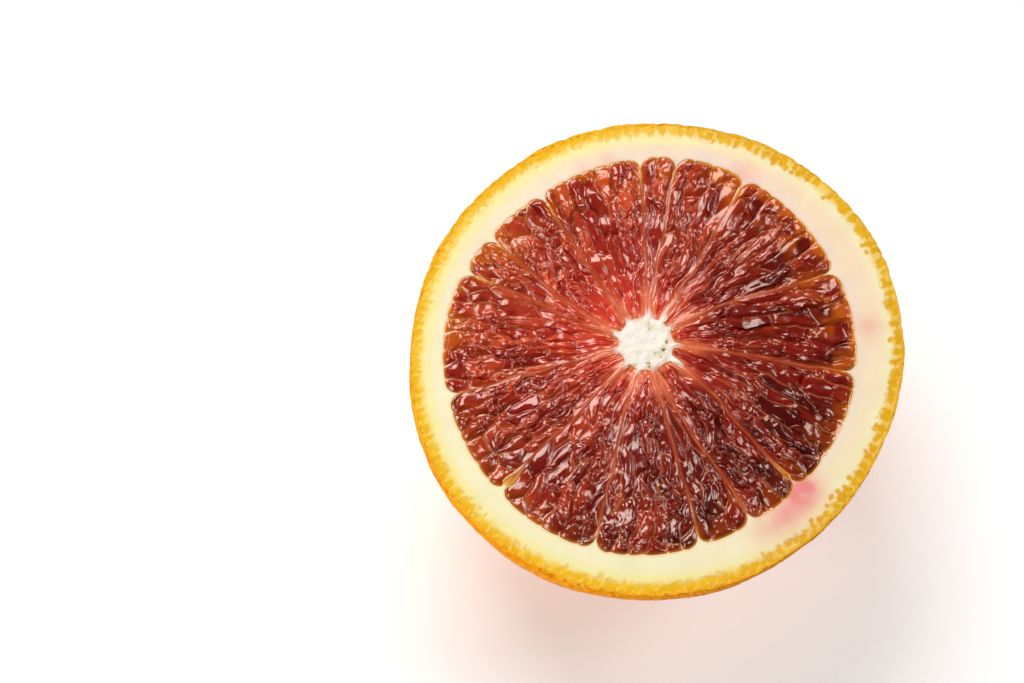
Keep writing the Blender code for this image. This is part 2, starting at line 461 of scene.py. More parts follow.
# %% [markdown]
# Masks come from two sources. Some are layers of numbers kept on the mesh, such as the distance
# from the skin, and so agree with its shape. Others are textures that the renderer works out.


# %% Numbers and textures
def sums(tree, way, first, second, third=0.0):
    node = tree.nodes.new("ShaderNodeMath")
    node.operation = way
    for socket, value in zip(node.inputs, (first, second, third)):
        put(tree, socket, value)
    return node.outputs[0]


def scaled(tree, value, low, high, new_low=0.0, new_high=1.0):
    node = tree.nodes.new("ShaderNodeMapRange")
    node.interpolation_type = "SMOOTHSTEP"
    for name, number in (
        ("Value", value), ("From Min", low), ("From Max", high), ("To Min", new_low), ("To Max", new_high)
    ):
        put(tree, node.inputs[name], number)
    return node.outputs["Result"]


def layer(tree, name):
    node = tree.nodes.new("ShaderNodeAttribute")
    node.attribute_name = name
    return node.outputs["Fac"]


def ramp(tree, name, low, high, new_low=0.0, new_high=1.0):
    """A layer of the mesh, changed softly from one range to another."""
    return scaled(tree, layer(tree, name), low, high, new_low, new_high)


def place(tree):
    return tree.nodes.new("ShaderNodeTexCoord").outputs["Object"]


def speckle(tree, where, size_mm, detail=2.0, distortion=0.0):
    node = tree.nodes.new("ShaderNodeTexNoise")
    put(tree, node.inputs["Vector"], where)
    node.inputs["Scale"].default_value = 1 / (size_mm * MM)
    node.inputs["Detail"].default_value = detail
    node.inputs["Distortion"].default_value = distortion
    return node.outputs["Fac"]


def new_material(name):
    material = bpy.data.materials.new(name)
    material.use_nodes = True
    return material, material.node_tree, material.node_tree.nodes["Principled BSDF"]


print("materials so far:", len(bpy.data.materials))

# %% [markdown]
# ## Two effects that every part of the fruit shares
# Nothing on a fruit has one even colour. `uneven_colour` blends a colour with a second one in
# soft blotches and fine specks. Peel, pith, pulp, membranes and core need it at different sizes,
# so it is a node group, built once, that takes those sizes as inputs.


# %% Uneven colour
BLOTCH_SHARE = 0.65
SPECK_SHARE = 0.35
BLOTCH_EDGE = (0.36, 0.64)


def new_group(name, inputs, outputs):
    group = bpy.data.node_groups.new(name, "ShaderNodeTree")
    for label, kind, value in inputs:
        made = group.interface.new_socket(label, in_out="INPUT", socket_type=kind)
        if value is not None:
            made.default_value = value
    for label, kind in outputs:
        group.interface.new_socket(label, in_out="OUTPUT", socket_type=kind)
    return group, group.nodes.new("NodeGroupInput"), group.nodes.new("NodeGroupOutput")


def make_uneven_colour():
    group, given, result = new_group(
        "uneven_colour",
        (
            ("Colour", "NodeSocketColor", None), ("Other Colour", "NodeSocketColor", None),
            ("Blotch Scale", "NodeSocketFloat", 200.0), ("Speck Scale", "NodeSocketFloat", 1500.0),
            ("Amount", "NodeSocketFloat", 0.5),
        ),
        (("Colour", "NodeSocketColor"),),
    )
    where = place(group)
    blotch = group.nodes.new("ShaderNodeTexNoise")
    speck = group.nodes.new("ShaderNodeTexNoise")
    for node, scale, detail in ((blotch, "Blotch Scale", 3.0), (speck, "Speck Scale", 2.0)):
        group.links.new(where, node.inputs["Vector"])
        group.links.new(given.outputs[scale], node.inputs["Scale"])
        node.inputs["Detail"].default_value = detail
    large = sums(group, "MULTIPLY", blotch.outputs["Fac"], BLOTCH_SHARE)
    both = sums(group, "MULTIPLY_ADD", speck.outputs["Fac"], SPECK_SHARE, large)
    strength = sums(group, "MULTIPLY", scaled(group, both, *BLOTCH_EDGE), given.outputs["Amount"])
    mixed = blend_colours(group, strength, given.outputs["Colour"], given.outputs["Other Colour"])
    group.links.new(mixed, result.inputs["Colour"])
    return group


UNEVEN_COLOUR = make_uneven_colour()


def uneven(tree, first, second, blotch_mm, speck_mm, amount):
    node = tree.nodes.new("ShaderNodeGroup")
    node.node_tree = UNEVEN_COLOUR
    put(tree, node.inputs["Colour"], first)
    put(tree, node.inputs["Other Colour"], second)
    node.inputs["Blotch Scale"].default_value = 1 / (blotch_mm * MM)
    node.inputs["Speck Scale"].default_value = 1 / (speck_mm * MM)
    node.inputs["Amount"].default_value = amount
    return node.outputs["Colour"]


print("uneven_colour has", len(UNEVEN_COLOUR.nodes), "nodes")

# %% [markdown]
# Nothing on a fruit is perfectly smooth either. `fine_skin` puts out pores and grain that are too
# small for any mesh, as a height. A Bump node in each material turns the height into shading.

# %% Fine skin
PORE_EDGE = (0.05, 0.55)


def make_fine_skin():
    group, given, result = new_group(
        "fine_skin",
        (
            ("Pore Scale", "NodeSocketFloat", 900.0), ("Grain Scale", "NodeSocketFloat", 3000.0),
            ("Grain", "NodeSocketFloat", 0.3),
        ),
        (("Height", "NodeSocketFloat"),),
    )
    where = place(group)
    pores = group.nodes.new("ShaderNodeTexVoronoi")
    grain = group.nodes.new("ShaderNodeTexNoise")
    for node, scale in ((pores, "Pore Scale"), (grain, "Grain Scale")):
        group.links.new(where, node.inputs["Vector"])
        group.links.new(given.outputs[scale], node.inputs["Scale"])
    pits = scaled(group, pores.outputs["Distance"], *PORE_EDGE)
    height = sums(group, "MULTIPLY_ADD", grain.outputs["Fac"], given.outputs["Grain"], pits)
    group.links.new(height, result.inputs["Height"])
    return group


FINE_SKIN = make_fine_skin()


def skin_bump(tree, shader, pore_mm, grain_mm, grain, height_mm, strength, share=1.0):
    node = tree.nodes.new("ShaderNodeGroup")
    node.node_tree = FINE_SKIN
    node.inputs["Pore Scale"].default_value = 1 / (pore_mm * MM)
    node.inputs["Grain Scale"].default_value = 1 / (grain_mm * MM)
    node.inputs["Grain"].default_value = grain
    bump = tree.nodes.new("ShaderNodeBump")
    bump.inputs["Strength"].default_value = strength
    bump.inputs["Distance"].default_value = height_mm * MM
    tree.links.new(sums(tree, "MULTIPLY", node.outputs["Height"], share), bump.inputs["Height"])
    tree.links.new(bump.outputs["Normal"], shader.inputs["Normal"])


print("node groups:", [g.name for g in bpy.data.node_groups])

# %% [markdown]
# ## Peel
# The skin is a thin bowl. Its outside is gently lumpy and covered with small dents, one over each
# oil gland. The lumps and dents are real geometry, because the outline and the highlights show
# them, and pores too fine for the mesh are left to a Bump node. Painted shade and highlight lie
# over it as soft pebbles of deeper and paler orange. Painted shade deepens the orange in each
# dent and lower down the side, and it is glossier away from the cut. Its edge shows at the cut
# as a thin golden line round the pith.

# %% Peel material
peel_material, tree, shader = new_material("waxy_peel")
pebble_shade_and_highlight = speckle(tree, place(tree), 1.5, 1.0, 0.3)
zest = blend_colours(tree, layer(tree, "clear"), "ffb824", "ecb030")
skin = paint(
    tree, uneven(tree, "ffa806", "fb9602", 9.0, 1.1, 0.6),
    # painted shade: a deeper orange lower down the side
    (ramp(tree, "lower", 0.0, 1.0, 0.0, 0.7), "fa9604"),
    # painted shade: a deeper orange in each dent
    (ramp(tree, "dent", 0.1, 0.9, 0.0, 0.4), "f08200"),
    # painted shade and highlight: deeper orange in the hollows between soft pebbles, paler on their crests
    (scaled(tree, pebble_shade_and_highlight, 0.34, 0.52, 0.6, 0.0), "ee8400"),
    (scaled(tree, pebble_shade_and_highlight, 0.52, 0.72, 0.0, 0.6), "ffb838"),
    (layer(tree, "scar"), "8a6a30"),
    (layer(tree, "at_cut"), zest),
)
dress(tree, shader, {
    "Base Color": skin, "Roughness": 0.5, "Specular IOR Level": 0.0, "Coat Roughness": 0.22,
    "Coat Weight": ramp(tree, "lower", 0.0, 1.0, 0.04, 0.4),
})
skin_bump(tree, shader, 1.0, 0.25, 0.3, 0.25, 1.0)
print("peel material has", len(tree.nodes), "nodes")

# %% [markdown]
# The bowl begins smooth. Its rings follow the skin's outline at the cut and shrink towards the
# blossom end, and as they shrink they get fewer points, so that no faces get needlessly small.

# %% Smooth dome
PEEL_STEPS = 640
PEEL_RINGS = 160
FEWEST_STEPS = 20
RING_SPARE = 1.02
LAST_SLOPE = math.radians(89.4)


def dome_ring(slope, steps, inset=0.0):
    """A ring of the dome: slope is 0 at the cut and a quarter turn at the pole."""
    angle = np.linspace(0.0, TURN, steps, endpoint=False)
    flat = rim_outline(angle) - RIM_MIDDLE
    length = np.hypot(flat[:, 0], flat[:, 1])[:, None]
    flat = flat * (1 - inset / length) * math.cos(slope)
    height = DEPTH - (DOME_DEPTH - inset) * math.sin(slope)
    return np.column_stack((flat, np.full(steps, height)))


def steps_for(slope):
    """Fewer points on a ring as the rings get smaller towards the pole."""
    steps = PEEL_STEPS
    while steps > FEWEST_STEPS and steps > 2 * PEEL_STEPS * math.cos(slope) / RING_SPARE:
        steps //= 2
    return steps


slopes = np.linspace(0.0, LAST_SLOPE, PEEL_RINGS)
outside = [dome_ring(slope, steps_for(slope)) for slope in slopes]
smooth_points = np.concatenate(outside)
print("smooth dome:", len(smooth_points), "points")

# %% [markdown]
# Then each point moves in or out along its own direction: by noise of three sizes for the lumps,
# and inwards at each dent. Dents lie round points scattered in space, so they are even all over
# and don't crowd at the pole as a flat pattern would. The blossom end has a small scar.

# %% Lumps and dents
LUMPS = ((9.0, 0.22), (4.2, 0.12), (2.1, 0.06))
LUMP_SEED = 30
DENT_SPACING = 1.2
DENT_SCATTER = 0.8
DENT_WIDTH = 0.42
DENT_DEPTH = 0.24
DENT_SEED = 40
SCAR_RADIUS = 2.2


def dents(points):
    """Depth of the dents, 0 to 1: round the nearest of scattered points in space."""
    scaled_points = points / DENT_SPACING
    home = np.floor(scaled_points).astype(np.int64)
    nearest = np.full(len(points), FAR)
    for dx in (-1, 0, 1):
        for dy in (-1, 0, 1):
            for dz in (-1, 0, 1):
                cell = home + np.array((dx, dy, dz))
                away = np.zeros(len(points))
                for axis in range(3):
                    drawn = lattice(*cell.T, DENT_SEED + axis)
                    at = cell[:, axis] + 0.5 + DENT_SCATTER * (drawn - 0.5)
                    away += (scaled_points[:, axis] - at) ** 2
                nearest = np.minimum(nearest, np.sqrt(away))
    return np.exp(-(nearest / DENT_WIDTH) ** 2)


def outward(points):
    """Unit directions out of the dome."""
    away = points - np.array((0.0, 0.0, DEPTH))
    away[:, 2] *= (CUT_RADIUS / DOME_DEPTH) ** 2
    return away / np.linalg.norm(away, axis=1)[:, None]


relief = sum(
    height * noise(*(smooth_points / width).T, seed=LUMP_SEED + k)
    for k, (width, height) in enumerate(LUMPS)
)
dent = dents(smooth_points)
from_pole = np.hypot(smooth_points[:, 0], smooth_points[:, 1])
under = smooth_points[:, 2] < DEPTH / 2
scar = np.where(under, np.exp(-(from_pole / SCAR_RADIUS) ** 4), 0.0)
bumpy = smooth_points + outward(smooth_points) * (relief - DENT_DEPTH * dent)[:, None]
bumpy[:, 2] = np.maximum(bumpy[:, 2], 0.0)
bumpy[:PEEL_STEPS, 2] = DEPTH
outside = np.split(bumpy, np.cumsum([len(ring) for ring in outside])[:-1])
print("lumps reach", round(float(relief.max()), 2), "mm out, dents", DENT_DEPTH, "mm in")

# %% [markdown]
# A plain inner wall closes the bowl. The peel is thin at the cut, so that the pith begins right
# inside its edge, and thicker lower down, where nothing of the inside is seen.

# %% Peel
PEEL_AT_CUT = 0.3
PEEL_LOWER_DOWN = 1.3
THICKENING_RINGS = 3
LAST_INNER_SLOPE = math.radians(88.0)
ZEST_WIDTH = 0.25
LOWER_FROM = 1.5
LOWER_UNTIL = 8.0
inner_steps = [PEEL_STEPS, PEEL_STEPS // 2] + [PEEL_STEPS // 4] * 19 + [PEEL_STEPS // 8] * 4
inner_slopes = np.linspace(0.0, LAST_INNER_SLOPE, len(inner_steps))
inside = []
for k, (slope, steps) in enumerate(zip(inner_slopes, inner_steps)):
    inset = PEEL_AT_CUT + (PEEL_LOWER_DOWN - PEEL_AT_CUT) * min(1.0, k / THICKENING_RINGS)
    inside.append(dome_ring(slope, steps, inset))
points, faces = closed_rings(inside[::-1] + outside)
hidden = sum(len(ring) for ring in inside)
at_cut = np.exp(-(slopes * DOME_DEPTH / ZEST_WIDTH) ** 2)
at_cut = np.concatenate([np.full(len(ring), value) for ring, value in zip(outside, at_cut)])
layers = {
    "at_cut": np.concatenate((np.full(hidden, 1.0), at_cut, (0.0, 0.0))),
    "clear": clear_side(np.arctan2(points[:, 1], points[:, 0])),
    "lower": step_up(LOWER_FROM, LOWER_UNTIL, DEPTH - points[:, 2]),
    "dent": np.concatenate((np.zeros(hidden), dent, (0.0, 0.0))),
    "scar": np.concatenate((np.zeros(hidden), scar, (0.0, 1.0))),
}
peel = new_piece("peel", points, faces, layers, peel_material)
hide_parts("fruit_half")
print("peel:", len(faces), "faces")

# %% [markdown]
# ## Where the pulp lies
# A segment lies between two membranes. A place in it is given by two numbers: across runs from 0
# at one membrane to 1 at the next, and along from 0 near the core to 1 at the pith. So a grid
# stays in order even where a segment bends or ends in a point. The two outer corners are rounded,
# and the pith reaches in between two corners as a point, which the membrane carries on to the
# core.

# %% Segments
CORNER = 2.0
CORNER_SHARE = 0.42
INNER_CORNER = 1.3
INNER_CORNER_SHARE = 0.48
TIP_WIDTH = 0.3
TIP_FROM_CORE = 0.05
SHORTEST = 0.5
SAC_WIDTH = 2.5
SHORT_SAC = 4.5
LONG_SAC = 8.5
LONG_TOWARDS = math.radians(20.0)
RIM_DIP = 0.22
RIM_DIP_WIDTH = 0.3


def rounded(distance, radius):
    """How far a corner of some radius draws back from a straight edge, at a distance from its side."""
    inside = np.clip(radius - distance, 0.0, radius)
    return radius - np.sqrt(radius ** 2 - inside ** 2)


class Segment:
    def __init__(self, number):
        self.number = number
        self.next = (number + 1) % len(MEMBRANES)
        self.start, self.end = self.sides(np.array(FLESH_RADIUS))
        self.width = float((self.end - self.start) * FLESH_RADIUS)
        self.corner = min(CORNER, CORNER_SHARE * self.width)
        self.sacs = max(2, round(self.width / SAC_WIDTH))
        self.seed = 100 + 10 * number
        long = 0.5 + 0.5 * math.cos(float(self.start + self.end) / 2 - LONG_TOWARDS)
        self.sac_length = SHORT_SAC + (LONG_SAC - SHORT_SAC) * long
        at_core = self.sides(np.array(CORE_RADIUS))
        radius = CORE_RADIUS + TIP_FROM_CORE + waves(CORE_WAVES, sum(at_core) / 2)
        while self.room(radius) < TIP_WIDTH:
            radius += 0.1
        self.inner = radius
        self.inner_corner = min(INNER_CORNER, INNER_CORNER_SHARE * self.room(radius + 1.0))

    def sides(self, radius):
        """Directions of the two membranes at some distance from the core."""
        start = membrane_angle(self.number, radius)
        end = membrane_angle(self.next, radius)
        return start, end + TURN * (end < start)

    def room(self, radius):
        """Width between the two membranes."""
        start, end = self.sides(np.array(radius))
        return float((end - start) * radius - membrane_thickness(radius))

    def smooth_outer(self, across):
        angle = self.start + (self.end - self.start) * across
        return flesh_radius(angle) - rounded(np.minimum(across, 1 - across) * self.width, self.corner)

    def outer(self, across):
        """The edge at the pith, drawn in a little between the juice sacs that end there."""
        across = np.asarray(across, float)
        size = self.width / self.sacs
        border = cells(self.sacs * across, 0.1 + 0 * across, size, self.sac_length, self.sacs, self.seed)[0]
        return self.smooth_outer(across) - RIM_DIP * np.exp(-border / RIM_DIP_WIDTH)

    def place(self, across, along, depth=0.0):
        """Radius and direction of a point, seen from the core."""
        shrink = math.sqrt(1 - (depth / FLESH_DEPTH) ** 2)
        from_side = np.minimum(across, 1 - across) * 2 * self.inner_corner
        inner = self.inner + rounded(from_side, self.inner_corner)
        outer = np.maximum(self.outer(across) * shrink, inner + SHORTEST)
        radius = inner + (outer - inner) * along
        start, end = self.sides(radius)
        side = np.arcsin(membrane_thickness(radius) / 2 / radius)
        return radius, start + side + (end - start - 2 * side) * across


SEGMENTS = [Segment(number) for number in range(len(MEMBRANES))]
print("segments are", [round(segment.width, 1) for segment in SEGMENTS], "mm wide at the pith")

# %% [markdown]
# The pith has to begin exactly where the segments end. So its inner edge isn't drawn again, but
# asked from the segments, whichever one lies in a direction.


# %% Edge of the flesh
def flesh_edge(angle):
    """Distance from the core to where the pith begins, in some direction."""
    edge = np.full(angle.shape, FLESH_RADIUS)
    for segment in SEGMENTS:
        turned = segment.start + np.mod(angle - segment.start, TURN)
        across = (turned - segment.start) / (segment.end - segment.start)
        edge = np.where(across <= 1.0, segment.outer(np.clip(across, 0.0, 1.0)), edge)
    return edge


def from_core(radius, angle, height):
    """Points from their distance and direction from the core's middle."""
    radius, angle, height = np.broadcast_arrays(radius, angle, height)
    x = CORE[0] + radius * np.cos(angle)
    y = CORE[1] + radius * np.sin(angle)
    return np.stack((x, y, height), axis=-1)


reach = flesh_edge(FULL_TURN)
print("from core to pith:", round(float(reach.min()), 1), "to", round(float(reach.max()), 1), "mm")

# %% [markdown]
# ## Pith and oil glands
# Under the skin lies a band of pale yellow with a row of golden oil glands, cut open, and a few
# smaller ones beside it. Inside the band the pith is smooth and cream, a little pinker at the
# upper right, with a few pink stains where red juice has soaked in. The band is golden and soft
# on one side, and clear on the other, where each gland stands out. The glands are placed by a
# rule with chance in it, and their mask is kept on a fine mesh, so their colour and the small
# dips they leave agree.

# %% Pith material
pith_material, tree, shader = new_material("damp_pith")
clear = layer(tree, "clear")
peach = blend_colours(tree, ramp(tree, "from_flesh", 0.3, 2.6), "f6ddd2", "fee0c0")
cream = blend_colours(tree, layer(tree, "rosy"), "fff6cc", peach)
cream = uneven(tree, cream, "fdeaae", 5.0, 0.7, 0.3)
pale = blend_colours(tree, clear, "fff0a4", "fbeebe")
yolk = uneven(tree, blend_colours(tree, clear, "ffcc26", "f6d162"), "fdbb18", 2.4, 0.6, 0.5)
under_skin = blend_colours(tree, clear, "ffac12", "eaac26")
gland_gold = uneven(tree, blend_colours(tree, clear, "fcc60a", "f0b80a"), "e2a00c", 2.0, 0.35, 0.7)
gland_seen = sums(tree, "MULTIPLY", layer(tree, "gland"), scaled(tree, clear, 0.0, 1.0, 0.35, 0.95))
below = sums(tree, "MULTIPLY_ADD", speckle(tree, place(tree), 1.3), 1.8, layer(tree, "below_skin"))
rind = blend_colours(tree, scaled(tree, below, 3.2, 5.0), pale, cream)
rind = blend_colours(tree, scaled(tree, below, 1.9, 3.4), yolk, rind)
rind = blend_colours(tree, scaled(tree, below, 0.9, 1.9), under_skin, rind)
rind = paint(
    tree, rind,
    (gland_seen, gland_gold),
    (layer(tree, "stain"), "f58f8c"),
    (ramp(tree, "from_flesh", 0.05, 0.5, 0.4, 0.0), "f3b050"),
)
SOFT_INSIDE = {
    "Subsurface Weight": 0.15, "Subsurface Radius": (1.0, 0.6, 0.3), "Subsurface Scale": 0.6 * MM,
}
dress(tree, shader, {
    "Base Color": rind, "Roughness": ramp(tree, "gland", 0.0, 1.0, 0.55, 0.25),
    "Specular IOR Level": 0.35, **SOFT_INSIDE,
})
skin_bump(tree, shader, 0.5, 0.15, 0.6, 0.03, 0.35)
print("pith material has", len(tree.nodes), "nodes")

# %% [markdown]
# A gland could be a small sphere sunk in the pith. Cut open it is just a wet patch with a slight
# dip, so a mask does: one main row and two of smaller ones, each given by its depth under the
# skin, its size and the share of glands that are there. Chance moves each gland, gives it its own
# width and height, and makes its edge uneven.

# %% Oil glands
GLANDS_ROUND = 150
GLAND_ROWS = ((1.15, 0.88, 0.94), (1.95, 0.5, 0.25), (0.65, 0.5, 0.7))
GLAND_SEED = 77
GLAND_SCATTER = 0.6
GLAND_DEPTH_SCATTER = 0.5
GLAND_WIDE = (0.55, 0.5)
GLAND_TALL = (0.7, 0.4)
GLAND_EDGE = (1.25, 0.6)
GLAND_WARP = 0.45
GLAND_WARP_SIZE = 0.45


def gland_mask(angle, below, where):
    """1 inside an oil gland, 0 outside. Angle runs round the fruit, below is the depth under the skin."""
    mask = np.zeros(angle.shape)
    uneven_edge = GLAND_WARP * noise(*(where[..., :2] / GLAND_WARP_SIZE).T, seed=61).T
    along = np.mod(angle / TURN, 1.0) * GLANDS_ROUND
    spacing = TURN * CUT_RADIUS / GLANDS_ROUND
    for row, (depth, size, share) in enumerate(GLAND_ROWS):
        shift = 0.5 * row
        home = np.floor(along + shift).astype(np.int64)
        for step in (-1, 0, 1):
            gland = np.mod(home + step, GLANDS_ROUND)
            drawn = [lattice(gland, gland * 0 + row, k, GLAND_SEED) for k in range(5)]
            away = along + shift - (home + step + 0.5 + GLAND_SCATTER * (drawn[0] - 0.5))
            wide = size * (GLAND_WIDE[0] + GLAND_WIDE[1] * drawn[1])
            tall = size * (GLAND_TALL[0] + GLAND_TALL[1] * drawn[2])
            deep = depth + GLAND_DEPTH_SCATTER * (drawn[3] - 0.5)
            ring = np.hypot(away * spacing / wide, (below - deep) / tall) + uneven_edge
            mask = np.maximum(mask, (drawn[4] < share) * step_up(*GLAND_EDGE, ring))
    return mask


expected = GLANDS_ROUND * sum(share for depth, size, share in GLAND_ROWS)
print("about", round(expected), "oil glands")

# %% [markdown]
# The top of the pith runs in rows from the flesh to the skin, closer together in the band that
# holds the glands. Every point also gets the numbers that its material reads, such as how far it
# is from the skin, and how much gland, stain or rosy tone is there.

# %% Top of the pith
PITH_STEPS = 1792
BAND_WIDTH = 2.6
BAND_ROWS = 20
PITH_ROWS = 14
ROW_CROWDING = 1.2
PITH_SWELL = 0.07
PITH_SWELL_SIZE = 3.0
GLAND_DIP = 0.07
STAIN_UNEVEN = 0.25
STAIN_PATCH = 1.3
STAINS = (
    (20.9, -20.0, 2.7, 1.0), (18.4, -23.4, 3.0, 0.6), (15.5, -26.3, 2.4, 0.25), (13.0, 27.8, 2.4, 0.35),
    (31.0, 4.9, 1.9, 0.4), (-7.0, 29.6, 1.4, 0.35), (-10.5, 28.4, 1.3, 0.3),
)
ROSY_TOWARDS = math.radians(50.0)

angle = np.linspace(-math.pi, math.pi, PITH_STEPS, endpoint=False)
skin = rim_from_core(angle)
edge = flesh_edge(angle)
rows = []
for row in range(PITH_ROWS + 1):
    part = row / PITH_ROWS
    rows.append(edge + (skin - BAND_WIDTH - edge) * part ** ROW_CROWDING)
for row in range(1, BAND_ROWS + 1):
    rows.append(skin - BAND_WIDTH + (BAND_WIDTH - PEEL_AT_CUT) * row / BAND_ROWS)
radius = np.array(rows)
below = skin[None] - radius
around = np.broadcast_to(angle, radius.shape)
from_flesh = radius - edge[None]
top = from_core(radius, around, DEPTH)
gland = gland_mask(around, below, top)
swell = PITH_SWELL * noise(*(top[..., :2] / PITH_SWELL_SIZE).T, seed=12).T * step_up(PEEL_AT_CUT, 1.5, below)
top[..., 2] += swell - GLAND_DIP * gland
place_angle = np.arctan2(top[..., 1], top[..., 0])
rosy = 0.5 + 0.5 * np.cos(place_angle - ROSY_TOWARDS)
clear = clear_side(place_angle)
stain = sum(
    strength * np.exp(-((np.hypot(top[..., 0] - x, top[..., 1] - y) / size) ** 2))
    for x, y, size, strength in STAINS
)
stain *= 1.0 + STAIN_UNEVEN * noise(*(top[..., :2] / STAIN_PATCH).T, seed=13).T
stain = np.clip(stain, 0.0, 1.0)
print("glands cover", round(100 * float((gland[-BAND_ROWS:] > 0.5).mean())), "% of the band's points")

# %% [markdown]
# Below its top the pith is a thick shell. Its inner wall follows the edge of the flesh down the
# fruit, and its outer wall lies just inside the peel.

# %% Pith
INNER_WALL = ((27.5, 8), (24.0, 8), (19.0, 8), (14.0, 8), (9.0, 8), (5.0, 8), (3.0, 4), (1.5, 2), (0.6, 1))
OUTER_WALL = (
    (0.9, 1), (2.0, 2), (3.5, 4), (6, 8), (12, 8), (24, 8), (36, 8), (48, 8), (60, 8), (72, 8), (84, 8),
)
THICK_BY_SLOPE = 3.5
OVER_PEEL = 0.15

inner_wall = []
for depth, every in INNER_WALL:
    shrink = math.sqrt(1 - (depth / FLESH_DEPTH) ** 2)
    inner_wall.append(from_core(edge[::every] * shrink, angle[::every], DEPTH - depth))
outer_wall = []
for slope, every in OUTER_WALL:
    lean = math.radians(slope)
    inset = PEEL_AT_CUT + (PEEL_LOWER_DOWN + OVER_PEEL - PEEL_AT_CUT) * min(1.0, slope / THICK_BY_SLOPE)
    flat = from_core(skin[::every], angle[::every], 0.0)[:, :2]
    flat = flat * (1 - inset / np.hypot(flat[:, 0], flat[:, 1])[:, None]) * math.cos(lean)
    height = DEPTH - (DOME_DEPTH - inset) * math.sin(lean)
    outer_wall.append(np.column_stack((flat, np.full(len(flat), height))))
points, faces = closed_rings(inner_wall + list(top) + outer_wall)
before = sum(len(ring) for ring in inner_wall)
after = sum(len(ring) for ring in outer_wall) + 2


def with_walls(values, wall):
    """A layer for the whole pith, with one value on its walls."""
    return np.concatenate((np.full(before, wall), values.ravel(), np.full(after, wall)))


layers = {
    "below_skin": with_walls(below, 4.0), "gland": with_walls(gland, 0.0),
    "rosy": with_walls(rosy, 0.5), "clear": with_walls(clear, 0.5),
    "stain": with_walls(stain, 0.0), "from_flesh": with_walls(from_flesh, 0.0),
}
pith = new_piece("pith", points, faces, layers, pith_material)
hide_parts("fruit_half")
print("pith:", len(faces), "faces")

# %% [markdown]
# ## Pulp
# Each segment is packed with juice sacs that point from the pith towards the core. The knife has
# opened some and pushed others about, so the cut is a crumpled field: plates a few millimetres
# long near the pith, fine wrinkles between them, and thin pale skins along their borders. A
# height is worked out for every point of a fine grid from two sizes of cells and some noise: sacs
# that are level, tilted and rounded each in its own way, and smaller folds on the rough ones. The
# same cells give the masks that colour the sacs, so the pale skins lie on the ridges. The right
# side is darker, smoother and glassier. Amber flesh lies at the pith on two sides. A brighter red
# is painted round the core as a glow, and painted shade darkens the sacs where they lie low.

# %% Pulp material
pulp_material, tree, shader = new_material("wet_pulp")
ripe = layer(tree, "ripe")
deep = blend_colours(tree, ripe, "a82014", "430205")
warm = blend_colours(tree, ripe, "e2552c", "8c170b")
flesh = blend_colours(tree, ramp(tree, "tone", 0.25, 0.8), deep, warm)
skin_colour = blend_colours(tree, ramp(tree, "radius", 10.0, 28.0), "e8684a", "dc8a50")
flesh = paint(
    tree, uneven(tree, flesh, "720409", 2.4, 0.5, 0.4),
    # painted glow: a brighter red round the core
    (layer(tree, "painted_glow"), "e63c26"),
    # painted shade: a darker red where the sacs lie below the cut plane
    (ramp(tree, "painted_hollow_shade", 0.2, 0.9, 0.0, 0.6), "460201"),
    (layer(tree, "amber"), "cc5c08"),
    (sums(tree, "MULTIPLY", layer(tree, "membrane"), 0.55), skin_colour),
    (layer(tree, "gilt"), "f2a430"),
    (ramp(tree, "from_side", 0.05, 0.4, 0.45, 0.0), "d45a24"),
    (layer(tree, "lobe_edge"), "f27e4e"),
)
dress(tree, shader, {
    "Base Color": flesh, "Roughness": 0.2, "IOR": 1.5,
    "Specular IOR Level": 0.8, "Specular Tint": "ffdcc8",
    "Coat Weight": ramp(tree, "glassy", 0.0, 1.0, 0.9, 0.4), "Coat Roughness": 0.12, "Coat IOR": 1.45,
    "Subsurface Weight": 0.3, "Subsurface Radius": (1.0, 0.25, 0.1), "Subsurface Scale": 0.9 * MM,
})
skin_bump(tree, shader, 0.8, 0.3, 1.0, 0.05, 0.45, ramp(tree, "glassy", 0.0, 1.0, 1.0, 0.4))
print("pulp material has", len(tree.nodes), "nodes")

# %% [markdown]
# Sculpting fourteen segments by hand would be slow, and flat colour on a flat cut would look
# printed. So the relief is worked out. First come the numbers that shape it: heights over the cut
# plane in millimetres, and roundings as a share of a sac's width.

# %% Sizes of sacs, folds and glow
RIM_DROP = 0.08
RIM_DROP_WIDTH = 0.7
RIM_ROUND = 0.9
NARROWING = 0.35
CALM_RIM = (0.3, 3.5)
SAC_SWAY = 0.25
SAC_CURL = (0.07, 0.03)
SAC_LEVEL = 0.4
SAC_TILT = (0.7, 0.2)
SAC_ROUND = 0.2
SAC_SINK = 0.3
LUMP = 0.16
GROOVE = 0.08
GROOVES = (2.3, 3.0)
FOLDS = 2.6
FOLD_CURL = 0.3
FOLD_LEVEL = 0.25
FOLD_TILT = (0.9, 0.4)
FOLD_ROUND = 0.15
SKIN_WIDTHS = (0.14, 0.1)
SKIN_HEIGHTS = (0.13, 0.1)
DARK_TOWARDS = math.radians(-35.0)
SMOOTH_TOWARDS = math.radians(5.0)
AMBER_TOWARDS = math.radians(52.0)
SECOND_AMBER = math.radians(158.0)
AMBER_ALL_ROUND = 0.25
GLOW_AT = (-4.5, 2.8)
GLOW_SIZE = 7.5
GLOW = 0.55
CORE_GLOW_SIZE = 9.0
CORE_GLOW = 0.75


def pillow(part):
    """0 at a border, 1 from the middle on, and round between."""
    return 1 - (1 - np.clip(part, 0.0, 1.0)) ** 2


print("sacs to a segment:", [segment.sacs for segment in SEGMENTS])
